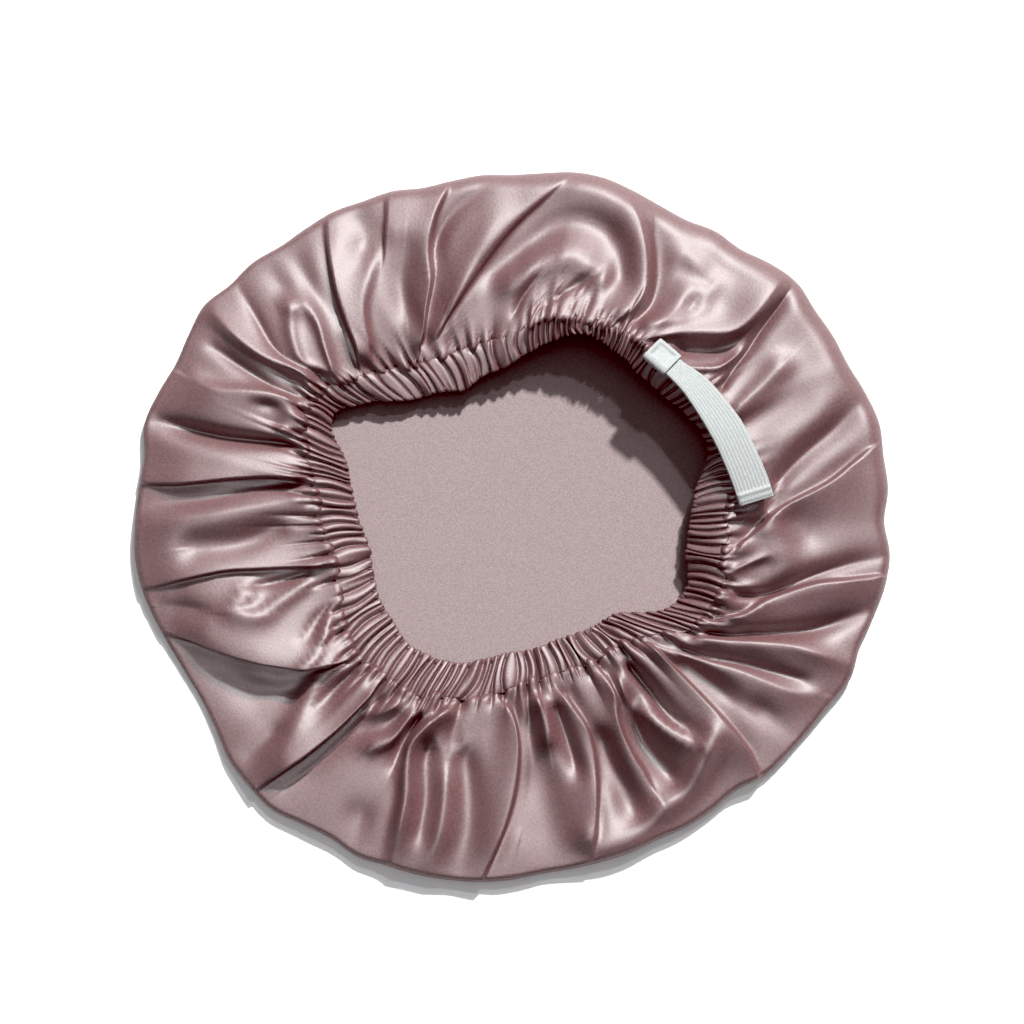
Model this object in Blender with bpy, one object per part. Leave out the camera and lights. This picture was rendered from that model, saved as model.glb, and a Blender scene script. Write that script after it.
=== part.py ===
"""A satin sleep bonnet lying with its mouth up, in metres, +Z up.

The origin is under the middle of the bonnet, on the surface that it lies on. +X runs to the
strap's side and +Y away from the front. The satin is a flat crown and a side that rolls up at
the rim and folds in over the crown; the ruched casing closes the mouth, and a ribbed elastic
strap comes out of its keeper at the casing's seam.
"""

import math

import bmesh
import bpy
from mathutils import Matrix, Vector

MM = 0.001

# Satin crown and side
CLOTH = 1.2 * MM
COLUMNS = 144
CROWN_MIDDLE = 0.6
CROWN_GAP = 0.65 * MM
RIM_HEIGHT = 7.0 * MM
ROLL_DEPTH = 11.0 * MM
ROLL_STEPS = 2
LAYER_ROWS = 8
SHOULDER_SHARE = 0.16
MOUTH_GAP = 1.3 * MM
LOWEST_LAYER = 8.5 * MM
GATHERS = 48
GATHER_DEPTH = 1.1 * MM
GATHER_REACH = 11.0 * MM

# Ruched casing
CASING_COLUMNS = 240
PLEATS = 80
CASING_THICKNESS = 3.0 * MM
PLEAT_DEPTH = 0.9 * MM

# Strap and keeper
STRAP_WIDTH = 17.0 * MM
STRAP_THICKNESS = 1.3 * MM
HEM_LENGTH = 5.5 * MM
HEM_THICKNESS = 2.4 * MM
KEEPER_LENGTH = 8.5 * MM
KEEPER_WALL = 1.1 * MM
KEEPER_GAP = 0.3 * MM

# The bonnet was measured in plan from 10 degrees off straight above, so a point of the plan
# moves forward by its height over the rim.
PLAN_TILT = math.radians(10.0)

# One row for each 10 degrees round the bonnet, counter-clockwise from +X, in millimetres.
SECTION_COLUMNS = ("degrees", "rim", "seam", "edge", "seam_z", "edge_z", "puff_z")
SECTIONS = (
    (0, 174.0, 100.0, 82.5, 22.0, 14.0, 18.0),
    (10, 175.5, 104.0, 86.0, 25.0, 17.0, 19.0),
    (20, 175.5, 105.5, 97.0, 27.0, 14.0, 20.0),
    (30, 173.5, 106.5, 96.0, 28.0, 14.0, 21.0),
    (40, 174.5, 105.5, 92.0, 27.5, 16.0, 22.0),
    (50, 167.0, 103.0, 91.0, 26.5, 15.0, 23.0),
    (60, 164.0, 102.5, 92.5, 27.0, 14.0, 25.0),
    (70, 166.0, 100.0, 93.0, 27.0, 12.0, 25.0),
    (80, 167.0, 97.0, 83.5, 25.0, 12.0, 24.0),
    (90, 163.5, 87.5, 74.0, 21.0, 9.0, 23.0),
    (100, 163.0, 84.5, 69.5, 18.0, 8.0, 21.0),
    (110, 165.5, 84.0, 65.5, 16.5, 8.0, 20.0),
    (120, 168.5, 86.0, 69.5, 16.0, 7.5, 20.0),
    (130, 169.0, 92.5, 74.0, 15.5, 8.0, 20.0),
    (140, 173.0, 103.0, 86.5, 14.5, 7.5, 19.0),
    (150, 174.5, 110.0, 97.0, 13.5, 7.5, 18.0),
    (160, 176.0, 103.0, 82.0, 13.5, 8.0, 17.0),
    (170, 174.0, 93.5, 75.0, 14.0, 8.5, 17.0),
    (180, 175.0, 90.0, 70.5, 14.0, 8.5, 17.0),
    (190, 174.5, 86.0, 67.0, 13.0, 7.5, 17.0),
    (200, 168.5, 86.0, 68.0, 12.5, 7.5, 17.0),
    (210, 165.0, 91.0, 70.5, 12.5, 7.5, 16.0),
    (220, 170.0, 95.0, 71.5, 12.5, 7.5, 16.0),
    (230, 171.5, 92.5, 73.5, 12.5, 7.5, 15.0),
    (240, 167.0, 92.0, 72.0, 12.5, 7.5, 15.0),
    (250, 167.5, 86.0, 69.0, 12.5, 7.5, 15.0),
    (260, 166.0, 83.5, 63.5, 12.5, 7.5, 15.0),
    (270, 163.5, 76.5, 60.0, 12.5, 7.5, 15.0),
    (280, 161.0, 74.0, 59.5, 12.5, 7.5, 15.0),
    (290, 161.0, 73.5, 58.0, 12.5, 7.5, 15.0),
    (300, 161.0, 75.0, 59.5, 12.5, 7.5, 15.0),
    (310, 160.5, 76.0, 61.5, 13.0, 7.5, 15.0),
    (320, 166.0, 82.0, 65.0, 13.5, 7.5, 16.0),
    (330, 169.0, 97.5, 81.0, 15.0, 7.5, 16.0),
    (340, 171.0, 102.5, 86.5, 16.5, 8.0, 17.0),
    (350, 175.0, 100.0, 82.0, 19.0, 10.0, 17.0),
)

# The main folds and creases of the layer over the crown. Each runs from the seam to the rim
# along three angles in degrees; height (negative for a crease) and the half-widths on its
# lower-angle and higher-angle side are in millimetres.
FOLD_COLUMNS = ("at_seam", "halfway", "at_rim", "height", "low_side", "high_side")
FOLDS = (
    (-6, 4, 14, 4.5, 9, 12),
    (11, 17, 21, 4.0, 15, 12),
    (33, 36, 41, -5.0, 10, 5),
    (50, 43, 42, 5.0, 9, 14),
    (61, 66, 77, 6.0, 11, 9),
    (88, 84, 78, 4.0, 14, 14),
    (113, 96, 86, 6.0, 8, 14),
    (117, 106, 107, 4.0, 10, 7),
    (114, 112, 113, -4.0, 9, 9),
    (129, 120, 116, 4.0, 8, 10),
    (136, 129, 122, 5.5, 8, 10),
    (146, 145, 144, 7.0, 12, 6),
    (153, 154, 155, 6.0, 10, 8),
    (160, 163, 164, -5.0, 8, 8),
    (167, 171, 174, 6.0, 13, 8),
    (177, 179, 180, 4.0, 8, 10),
    (192, 190, 190, 6.5, 11, 7),
    (218, 207, 199, 8.0, 18, 7),
    (231, 228, 226, 7.5, 13, 6),
    (243, 240, 238, 4.0, 9, 9),
    (251, 248, 251, 6.0, 11, 8),
    (269, 270, 266, 6.5, 10, 7),
    (287, 287, 284, 6.5, 9, 12),
    (299, 295, 294, 5.0, 9, 8),
    (303, 306, 309, 4.5, 9, 9),
    (317, 316, 314, 7.0, 10, 6),
    (320, 326, 329, 4.5, 8, 9),
    (327, 334, 338, 5.0, 9, 8),
    (335, 346, 351, 6.0, 9, 10),
)

# The strap's middle line in plan, its height and how far its outer edge dips.
STRAP_COLUMNS = ("x", "y", "z", "dip_degrees")
STRAP_STATIONS = (
    (69.5, 75.0, 35.4, 30.0),
    (76.5, 69.5, 35.4, 31.0),
    (84.5, 62.5, 33.4, 31.0),
    (92.0, 53.0, 32.4, 28.0),
    (99.5, 41.5, 31.0, 22.0),
    (105.0, 30.0, 29.3, 15.0),
    (109.5, 19.0, 27.6, 9.0),
    (112.5, 9.5, 26.0, 6.0),
)
KEEPER_STATION = 0


def at_angle(column, degrees):
    """The value of a section column at any angle, on a smooth closed curve through its rows."""
    index = SECTION_COLUMNS.index(column)
    step = 360.0 / len(SECTIONS)
    turns = (degrees % 360.0) / step
    row = int(turns)
    t = turns - row
    before, start, end, after = (
        SECTIONS[(row + k) % len(SECTIONS)][index] * MM for k in (-1, 0, 1, 2)
    )
    slope_in = (end - before) / 2.0
    slope_out = (after - start) / 2.0
    return (
        (2 * t**3 - 3 * t**2 + 1) * start
        + (t**3 - 2 * t**2 + t) * slope_in
        + (3 * t**2 - 2 * t**3) * end
        + (t**3 - t**2) * slope_out
    )


def place(degrees, radius, height):
    """A point of the plan, moved from the measured view to its true place."""
    angle = math.radians(degrees)
    forward = (height - RIM_HEIGHT) * math.sin(PLAN_TILT)
    return Vector(
        (
            radius * math.cos(angle),
            (radius * math.sin(angle) - forward) / math.cos(PLAN_TILT),
            height,
        )
    )


def fold_relief(degrees, radius, share):
    """The height that the folds add, at a share of the way from the rim (0) to the seam (1)."""
    relief = 0.0
    fade = math.sin(math.pi * min(1.0, 0.12 + 0.80 * share))
    for at_seam, halfway, at_rim, height, low_side, high_side in FOLDS:
        crest = (
            at_rim * (1 - share) * (1 - 2 * share)
            + 4 * halfway * share * (1 - share)
            + at_seam * share * (2 * share - 1)
        )
        turn = (degrees - crest + 180.0) % 360.0 - 180.0
        across = math.radians(turn) * radius
        width = (high_side if across > 0 else low_side) * MM
        relief += height * MM * fade * math.exp(-((across / width) ** 2))
    return relief


def layer_point(degrees, share):
    """A point of the layer over the crown, from the rim's widest line (0) to the seam (1).

    The layer rises off the rim in a round shoulder, carries the folds, and near the seam is
    crimped into short gathers.
    """
    rim = at_angle("rim", degrees)
    seam = at_angle("seam", degrees) + MOUTH_GAP
    radius = rim + (seam - rim) * share
    puff = at_angle("puff_z", degrees)
    seam_z = at_angle("seam_z", degrees)
    rise = math.sqrt(1 - (1 - min(1.0, share / SHOULDER_SHARE)) ** 2)
    body = puff + (seam_z - puff) * share**3
    relief = fold_relief(degrees, radius, share) * rise
    from_seam = (radius - seam) / GATHER_REACH
    gather = math.cos(math.radians(degrees) * GATHERS) * GATHER_DEPTH
    relief += gather * math.exp(-from_seam) * rise
    height = RIM_HEIGHT + (body - RIM_HEIGHT) * rise + relief
    lowest = RIM_HEIGHT + (LOWEST_LAYER - RIM_HEIGHT) * rise
    return place(degrees, radius, max(lowest, height))


def roll_point(degrees, turn):
    """A point of the rim's lower quarter, from the surface (0) to the widest line (1)."""
    angle = turn * math.pi / 2
    radius = at_angle("rim", degrees) - ROLL_DEPTH * (1 - math.sin(angle))
    return place(degrees, radius, RIM_HEIGHT * (1 - math.cos(angle)))


def casing_point(degrees, across, over):
    """A point of the casing: across it from seam (0) to free edge (1), over it from -1 to 1."""
    seam = Vector((at_angle("seam", degrees), at_angle("seam_z", degrees)))
    edge = Vector((at_angle("edge", degrees), at_angle("edge_z", degrees)))
    along = (edge - seam).normalized()
    up = Vector((along.y, -along.x))
    if up.y < 0:
        up.negate()
    half = CASING_THICKNESS / 2
    pleat = math.cos(math.radians(degrees) * PLEATS) * PLEAT_DEPTH
    middle = seam.lerp(edge, across)
    spot = middle + up * over * (half + pleat * math.sin(math.pi * across))
    return place(degrees, spot.x, spot.y)


def new_part(name, bm, material):
    """Makes one named object of a bmesh, with its faces outward and its material."""
    bmesh.ops.recalc_face_normals(bm, faces=bm.faces)
    mesh = bpy.data.meshes.new(name)
    bm.to_mesh(mesh)
    bm.free()
    mesh.shade_smooth()
    mesh.materials.append(material)
    part = bpy.data.objects.new(name, mesh)
    bpy.context.scene.collection.objects.link(part)
    return part


def finish(name, colour, roughness, metallic=0.0, sheen=0.0):
    """A Principled material."""
    material = bpy.data.materials.new(name)
    material.use_nodes = True
    shader = material.node_tree.nodes["Principled BSDF"]
    shader.inputs["Base Color"].default_value = (*colour, 1.0)
    shader.inputs["Roughness"].default_value = roughness
    shader.inputs["Metallic"].default_value = metallic
    shader.inputs["Sheen Weight"].default_value = sheen
    return material


def open_ring(bm, columns):
    """A ring of edges whose points each remember their column."""
    bmesh.ops.create_circle(bm, segments=columns, radius=1.0)
    layer = bm.verts.layers.int.new("column")
    for index, vert in enumerate(bm.verts):
        vert[layer] = index
    return layer, list(bm.verts), list(bm.edges)


def next_ring(bm, edges):
    """Extrudes a ring of edges and gives the new ring's points and edges."""
    grown = bmesh.ops.extrude_edge_only(bm, edges=edges)["geom"]
    points = [item for item in grown if isinstance(item, bmesh.types.BMVert)]
    sides = [item for item in grown if isinstance(item, bmesh.types.BMEdge)]
    return points, sides


def set_ring(points, layer, columns, spot):
    """Moves each point of a ring to spot(degrees) of its column."""
    for point in points:
        point.co = spot(360.0 * point[layer] / columns)


def add_wall(part):
    """Gives a sheet its thickness, on its inner side."""
    wall = part.modifiers.new("wall", "SOLIDIFY")
    wall.thickness = CLOTH
    wall.offset = -1.0
    return part


def crown_edge(degrees):
    """A point of the crown's edge, a small gap inside the start of the side's roll."""
    edge = roll_point(degrees, 0)
    return edge * (1 - CROWN_GAP / edge.length)


def make_crown(satin):
    """The crown, a flat sheet that the bonnet lies on."""
    bm = bmesh.new()
    layer, points, edges = open_ring(bm, COLUMNS)
    set_ring(points, layer, COLUMNS, lambda d: crown_edge(d) * CROWN_MIDDLE)
    bmesh.ops.contextual_create(bm, geom=points)
    points, edges = next_ring(bm, edges)
    set_ring(points, layer, COLUMNS, crown_edge)
    return add_wall(new_part("satin_crown", bm, satin))


def make_side(satin):
    """The side: the rim's roll and the folded layer up to the seam, as one sheet."""
    bm = bmesh.new()
    layer, points, edges = open_ring(bm, COLUMNS)
    spots = [lambda d, k=k: roll_point(d, k / ROLL_STEPS) for k in range(1, ROLL_STEPS)]
    for row in range(LAYER_ROWS + 1):
        share = 1 - math.cos(math.pi / 2 * (row / LAYER_ROWS) ** 0.8)
        spots.append(lambda d, share=share: layer_point(d, share))
    set_ring(points, layer, COLUMNS, lambda d: roll_point(d, 0))
    for spot in spots:
        points, edges = next_ring(bm, edges)
        set_ring(points, layer, COLUMNS, spot)
    return add_wall(new_part("satin_side", bm, satin))


def make_casing(satin):
    """The ruched casing: one flattened tube round the mouth, pleated on both faces."""
    section = (
        (0.0, 0.45),
        (0.12, 0.9),
        (0.5, 1.0),
        (0.88, 0.9),
        (1.0, 0.35),
        (1.0, -0.35),
        (0.5, -1.0),
        (0.0, -0.45),
    )
    bm = bmesh.new()
    layer, points, edges = open_ring(bm, CASING_COLUMNS)
    first = edges
    for row, (across, over) in enumerate(section):
        if row:
            points, edges = next_ring(bm, edges)
        set_ring(
            points,
            layer,
            CASING_COLUMNS,
            lambda d, across=across, over=over: casing_point(d, across, over),
        )
    bmesh.ops.bridge_loops(bm, edges=first + edges)
    return new_part("elastic_casing", bm, satin)


def strap_frames():
    """The place of each strap station: its middle, and its along, across and up directions."""
    middles = []
    for x, y, z, _ in STRAP_STATIONS:
        forward = (z * MM - RIM_HEIGHT) * math.sin(PLAN_TILT)
        middles.append(Vector((x * MM, (y * MM - forward) / math.cos(PLAN_TILT), z * MM)))
    frames = []
    for index, middle in enumerate(middles):
        before = middles[max(0, index - 1)]
        after = middles[min(len(middles) - 1, index + 1)]
        along = (after - before).normalized()
        outward = along.cross(Vector((0, 0, -1))).normalized()
        dip = math.radians(STRAP_STATIONS[index][3])
        across = Matrix.Rotation(-dip, 3, along) @ outward
        frames.append((middle, along, across, along.cross(across)))
    return frames


def band_corner(frame, width, bottom, top, degrees):
    """A corner of a flat band's section, the four of them a quarter turn apart."""
    middle, _, across, up = frame
    side = 1 if degrees in (90.0, 180.0) else -1
    level = bottom if degrees < 180.0 else top
    return middle + across * side * width / 2 + up * level


def make_strap(elastic):
    """The free strap, a flat band with its end folded back under a line of stitches."""
    frames = strap_frames()
    end_middle, along, across, up = frames[-1]
    hem_start = (end_middle - along * HEM_LENGTH, along, across, up)
    half = STRAP_THICKNESS / 2
    hem_top = HEM_THICKNESS - half
    stations = [(frame, half) for frame in frames[:-1]]
    stations += [(hem_start, half), (hem_start, hem_top), (frames[-1], hem_top)]
    bm = bmesh.new()
    layer, points, edges = open_ring(bm, 4)
    for index, (frame, top) in enumerate(stations):
        if index:
            points, edges = next_ring(bm, edges)
        set_ring(
            points,
            layer,
            4,
            lambda d, frame=frame, top=top: band_corner(frame, STRAP_WIDTH, -half, top, d),
        )
        if index in (0, len(stations) - 1):
            bmesh.ops.contextual_create(bm, geom=points)
    return new_part("elastic_strap", bm, elastic)


def make_keeper(elastic):
    """The keeper, a flattened loop round the strap's root."""
    middle, along, across, up = strap_frames()[KEEPER_STATION]
    inner_high = STRAP_THICKNESS / 2 + KEEPER_GAP
    inner_wide = STRAP_WIDTH + 2 * KEEPER_GAP
    inner = (inner_wide, inner_high)
    outer = (inner_wide + 2 * KEEPER_WALL, inner_high + KEEPER_WALL)
    bm = bmesh.new()
    layer, points, edges = open_ring(bm, 4)
    first = edges
    walls = ((-1, outer), (-1, inner), (1, inner), (1, outer))
    for index, (end, (wide, high)) in enumerate(walls):
        if index:
            points, edges = next_ring(bm, edges)
        frame = (middle + along * end * KEEPER_LENGTH / 2, along, across, up)
        set_ring(
            points,
            layer,
            4,
            lambda d, frame=frame, wide=wide, high=high: band_corner(frame, wide, -high, high, d),
        )
    bmesh.ops.bridge_loops(bm, edges=first + edges)
    return new_part("strap_keeper", bm, elastic)


for leftover in list(bpy.data.objects):
    bpy.data.objects.remove(leftover)

satin = finish("dusty_rose_satin", (0.50, 0.33, 0.34), 0.34, metallic=0.25, sheen=0.3)
elastic = finish("pale_ribbed_elastic", (0.78, 0.84, 0.83), 0.75)
make_crown(satin)
make_side(satin)
make_casing(satin)
make_strap(elastic)
make_keeper(elastic)
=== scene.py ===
"""A satin sleep bonnet lying with its mouth up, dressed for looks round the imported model."""

import math

import bmesh
import bpy
import numpy as np
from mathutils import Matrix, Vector


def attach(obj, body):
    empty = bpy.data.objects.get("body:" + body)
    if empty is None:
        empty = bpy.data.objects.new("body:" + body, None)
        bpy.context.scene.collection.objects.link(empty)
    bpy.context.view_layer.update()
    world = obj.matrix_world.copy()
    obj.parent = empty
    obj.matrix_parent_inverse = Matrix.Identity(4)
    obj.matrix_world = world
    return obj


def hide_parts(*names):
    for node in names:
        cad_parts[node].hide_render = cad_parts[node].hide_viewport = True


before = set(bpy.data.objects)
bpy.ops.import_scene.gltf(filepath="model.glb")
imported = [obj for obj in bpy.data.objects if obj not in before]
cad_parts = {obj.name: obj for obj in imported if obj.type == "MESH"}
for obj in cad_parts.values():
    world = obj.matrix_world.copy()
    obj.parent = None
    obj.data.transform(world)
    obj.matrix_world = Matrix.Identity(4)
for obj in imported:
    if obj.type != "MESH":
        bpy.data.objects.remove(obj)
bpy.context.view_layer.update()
scene = bpy.context.scene
# The picture has the photograph's deep, warm shadows.
scene.view_settings.view_transform = "Standard"
scene.view_settings.use_curve_mapping = True
scene.view_settings.curve_mapping.black_level = (0.008, 0.020, 0.020)

# The camera looks down on the bonnet from ten degrees off straight above, through a long lens.
# The middle of its picture is a little behind the bonnet's middle, at the height of the rim.
RIM_HEIGHT = 0.007
PLAN_TILT = math.radians(10.0)
CAMERA_DISTANCE = 1.978
PICTURE_RISE = 0.0046
camera_data = bpy.data.cameras.new("camera")
camera_data.lens = 150.0
camera_data.sensor_width = 36.0
camera_data.clip_end = 20.0
camera = bpy.data.objects.new("camera", camera_data)
toward_camera = Vector((0.0, -math.sin(PLAN_TILT), math.cos(PLAN_TILT)))
picture_up = Vector((0.0, math.cos(PLAN_TILT), math.sin(PLAN_TILT)))
camera.location = Vector((0, 0, RIM_HEIGHT)) + picture_up * PICTURE_RISE + toward_camera * CAMERA_DISTANCE
camera.rotation_euler = (PLAN_TILT, 0.0, 0.0)
scene.collection.objects.link(camera)
scene.camera = camera

# The studio: a plain white floor with a faint glow, dim light from all round, and square lights.
# The main softbox, behind and to the right, casts the shadows, and a weaker one stands above it.
# The sheen lights show only in the gloss of the cloth.
FLOOR_REACH = 4.0
FLOOR_COLOUR = (0.94, 0.945, 0.95, 1)
FLOOR_GLOW_COLOUR = (0.95, 0.98, 1, 1)
FLOOR_GLOW = 0.17
FLOOR_ROUGHNESS = 0.9
ROOM_COLOUR = (0.95, 0.97, 1.0, 1)
ROOM_LIGHT = 0.10
# Each light's azimuth, counter-clockwise from +X, elevation, distance, size, watts and colour, and
# whether it lights the colour of the cloth and shows in its gloss.
STUDIO_LIGHTS = (
    ("main_softbox", 66, 41, 6.0, 0.28, 585.0, (1.0, 0.99, 0.98), True, False),
    ("main_sheen", 74, 47, 6.0, 0.36, 625.0, (1.0, 0.99, 0.98), False, True),
    ("upper_softbox", 64, 54, 6.0, 0.28, 62.0, (0.98, 0.99, 1.0), True, True),
    ("broad_softbox", 72, 80, 2.2, 1.4, 3.0, (0.99, 0.99, 1.0), True, True),
    ("overhead_sheen_card", 250, 80, 2.2, 0.8, 15.0, (0.99, 0.99, 1.0), False, True),
    ("front_sheen", 240, 62, 6.0, 0.5, 50.0, (0.99, 0.99, 1.0), False, True),
)
floor_mesh = bpy.data.meshes.new("floor")
bm = bmesh.new()
bmesh.ops.create_grid(bm, x_segments=2, y_segments=2, size=FLOOR_REACH)
bm.to_mesh(floor_mesh)
bm.free()
floor = bpy.data.objects.new("floor", floor_mesh)
floor_paint = bpy.data.materials.new("floor_paint")
floor_paint.use_nodes = True
floor_shader = floor_paint.node_tree.nodes["Principled BSDF"]
floor_shader.inputs["Base Color"].default_value = FLOOR_COLOUR
floor_shader.inputs["Roughness"].default_value = FLOOR_ROUGHNESS
floor_shader.inputs["Emission Color"].default_value = FLOOR_GLOW_COLOUR
floor_shader.inputs["Emission Strength"].default_value = FLOOR_GLOW
floor_mesh.materials.append(floor_paint)
scene.collection.objects.link(floor)
for name, azimuth, elevation, distance, size, watts, colour, on_colour, on_gloss in STUDIO_LIGHTS:
    light_data = bpy.data.lights.new(name, "AREA")
    light_data.shape = "SQUARE"
    light_data.size = size
    light_data.energy = watts
    light_data.color = colour
    light = bpy.data.objects.new(name, light_data)
    turn, rise = math.radians(azimuth), math.radians(elevation)
    out = Vector((math.cos(turn) * math.cos(rise), math.sin(turn) * math.cos(rise), math.sin(rise)))
    light.location = out * distance
    light.rotation_euler = out.to_track_quat("Z", "Y").to_euler()
    light.visible_diffuse = on_colour
    light.visible_glossy = on_gloss
    scene.collection.objects.link(light)
room = bpy.data.worlds.new("dim_room")
room.use_nodes = True
room.node_tree.nodes["Background"].inputs["Color"].default_value = ROOM_COLOUR
room.node_tree.nodes["Background"].inputs["Strength"].default_value = ROOM_LIGHT
scene.world = room

# The bag: one round of glossy satin. Its middle is the flat crown, with the matte wrong side up,
# its rim turns up in a narrow roll, and the rest lies back over the crown in long folds, gathered
# in to the seam where it is sewn to the casing.
MM = 0.001
CLOTH_THICKNESS = 0.5 * MM
# Cuts through the bonnet every ten degrees, in millimetres: the radius of the seam and of the
# casing's free edge, the height of both, and the height of the layer between rim and seam.
SECTION_COLUMNS = ("degrees", "seam", "edge", "seam_z", "edge_z", "puff_z")
SECTIONS = (
    (0, 100.0, 82.5, 19.0, 13.0, 15.0),
    (10, 104.0, 86.0, 20.0, 15.0, 15.5),
    (20, 105.5, 97.0, 19.5, 15.0, 16.0),
    (30, 106.5, 96.0, 22.5, 15.5, 16.5),
    (40, 105.5, 92.0, 25.0, 17.0, 17.0),
    (50, 103.0, 91.0, 27.0, 20.0, 17.5),
    (60, 102.5, 92.5, 27.0, 23.0, 17.5),
    (70, 100.0, 93.0, 26.0, 22.5, 17.5),
    (80, 97.0, 83.5, 22.0, 17.5, 17.0),
    (90, 87.5, 74.0, 17.5, 13.0, 16.5),
    (100, 84.5, 69.5, 13.5, 10.5, 16.0),
    (110, 84.0, 65.5, 11.5, 9.5, 15.5),
    (120, 86.0, 69.5, 10.5, 8.0, 15.5),
    (130, 92.5, 74.0, 10.5, 7.5, 15.5),
    (140, 103.0, 86.5, 11.5, 7.0, 15.5),
    (150, 110.0, 97.0, 12.5, 7.0, 15.0),
    (160, 103.0, 82.0, 13.0, 7.5, 14.5),
    (170, 93.5, 75.0, 13.0, 8.0, 13.0),
    (180, 90.0, 70.5, 13.0, 8.0, 12.0),
    (190, 86.0, 67.0, 12.5, 7.5, 11.5),
    (200, 86.0, 68.0, 11.5, 7.5, 11.0),
    (210, 91.0, 70.5, 10.5, 7.5, 10.5),
    (220, 95.0, 71.5, 10.5, 7.5, 10.0),
    (230, 92.5, 73.5, 10.5, 7.5, 10.0),
    (240, 92.0, 72.0, 10.5, 7.5, 10.0),
    (250, 86.0, 69.0, 10.5, 7.5, 10.0),
    (260, 83.5, 63.5, 10.5, 7.5, 10.0),
    (270, 76.5, 60.0, 10.5, 7.5, 10.0),
    (280, 74.0, 59.5, 10.5, 7.5, 10.0),
    (290, 73.5, 58.0, 10.5, 7.5, 10.0),
    (300, 75.0, 59.5, 11.0, 7.5, 10.0),
    (310, 76.0, 61.5, 12.0, 7.5, 10.5),
    (320, 82.0, 65.0, 13.5, 7.5, 11.5),
    (330, 97.5, 81.0, 15.0, 7.5, 12.5),
    (340, 102.5, 86.5, 16.5, 8.0, 13.5),
    (350, 100.0, 82.0, 18.5, 10.0, 14.5),
)
# The rim's radius every five degrees, in millimetres.
RIM_RADII = (
    172.9, 175.5, 175.7, 177.3, 175.7, 173.4, 173.6, 173.2, 174.5, 171.3, 167.1, 166.7,
    163.9, 164.3, 166.0, 167.6, 167.1, 164.8, 163.4, 163.9, 163.0, 162.7, 165.5, 166.4,
    168.3, 168.5, 169.0, 172.0, 172.7, 176.2, 174.8, 173.6, 175.7, 177.3, 173.8, 174.1,
    174.8, 175.5, 174.3, 171.5, 168.3, 166.0, 165.0, 166.7, 170.1, 171.3, 172.0, 168.8,
    167.1, 168.8, 167.4, 167.1, 166.2, 165.3, 163.7, 161.6, 161.1, 160.9, 160.9, 160.2,
    161.3, 161.1, 160.6, 164.8, 166.0, 167.1, 169.0, 172.0, 170.8, 172.9, 175.2, 175.9,
)


def round_bonnet(values, turns):
    """Values at even steps round the bonnet, read between steps on a smooth closed curve."""
    row = np.floor(turns).astype(int)
    t = turns - row
    before, start, end, after = (values[(row + k) % len(values)] for k in (-1, 0, 1, 2))
    return (
        (2 * t**3 - 3 * t**2 + 1) * start
        + (t**3 - 2 * t**2 + t) * (end - before) / 2
        + (3 * t**2 - 2 * t**3) * end
        + (t**3 - t**2) * (after - start) / 2
    )


def at_angle(column, degrees):
    """The rim's radius or a column of the sections at any angles, in metres."""
    if column == "rim":
        values = np.array(RIM_RADII) * MM
    else:
        values = np.array(SECTIONS)[:, SECTION_COLUMNS.index(column)] * MM
    turns = np.asarray(degrees, float) % 360.0
    return round_bonnet(values, turns / (360.0 / len(values)))


def true_place(degrees, radius, height):
    """Points of the plan, moved from the photographed view to their true places."""
    angle = np.radians(degrees)
    forward = (height - RIM_HEIGHT) * math.sin(PLAN_TILT)
    deep = (radius * np.sin(angle) - forward) / math.cos(PLAN_TILT)
    return np.stack([radius * np.cos(angle), deep, height + 0 * radius], axis=-1)


def unit(ways):
    """Directions of length 1."""
    return ways / np.linalg.norm(ways, axis=-1, keepdims=True)


def eased(share, top=1.0):
    """A share from 0 to 1 with soft ends, times its top."""
    return top * share * share * (3 - 2 * share)


def smooth_line(points, count):
    """Even steps along some points, and a smooth line through the points at those steps."""
    points = np.vstack([2 * points[0] - points[1], points, 2 * points[-1] - points[-2]])
    steps = np.linspace(0, len(points) - 3 - 1e-9, count)
    k = np.floor(steps).astype(int)
    t = (steps - k)[:, None]
    a, b, c, d = (points[k + i] for i in range(4))
    line = 0.5 * (2 * b + (c - a) * t + (2 * a - 5 * b + 4 * c - d) * t**2 + (3 * b - a - 3 * c + d) * t**3)
    return steps, line


def cloth_rings(bm, columns, count, closed=False):
    """Rings of quads one after the other, each point with its column and row on it."""
    bmesh.ops.create_circle(bm, segments=columns, radius=1.0)
    column = bm.verts.layers.int.new("column")
    row = bm.verts.layers.int.new("row")
    for index, vert in enumerate(bm.verts):
        vert[column] = index
    first = last = list(bm.edges)
    for number in range(1, count):
        grown = bmesh.ops.extrude_edge_only(bm, edges=last)["geom"]
        last = [item for item in grown if isinstance(item, bmesh.types.BMEdge)]
        for item in grown:
            if isinstance(item, bmesh.types.BMVert):
                item[row] = number
    if closed:
        bmesh.ops.bridge_loops(bm, edges=first + last)
    return first, last


def finished_piece(name, bm, spots, *materials):
    """A finished object from rings whose points go to spots[row, column], in metres."""
    mesh = bpy.data.meshes.new(name)
    bm.to_mesh(mesh)
    bm.free()
    count = len(mesh.vertices)
    column, row = np.zeros(count, int), np.zeros(count, int)
    mesh.attributes["column"].data.foreach_get("value", column)
    mesh.attributes["row"].data.foreach_get("value", row)
    mesh.vertices.foreach_set("co", spots[row, column].astype(np.float32).ravel())
    mesh.attributes.remove(mesh.attributes["column"])
    mesh.attributes.remove(mesh.attributes["row"])
    bm = bmesh.new()
    bm.from_mesh(mesh)
    bmesh.ops.recalc_face_normals(bm, faces=bm.faces)
    bm.to_mesh(mesh)
    bm.free()
    mesh.shade_smooth()
    for material in materials:
        mesh.materials.append(material)
    piece = bpy.data.objects.new(name, mesh)
    scene.collection.objects.link(piece)
    return piece


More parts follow.
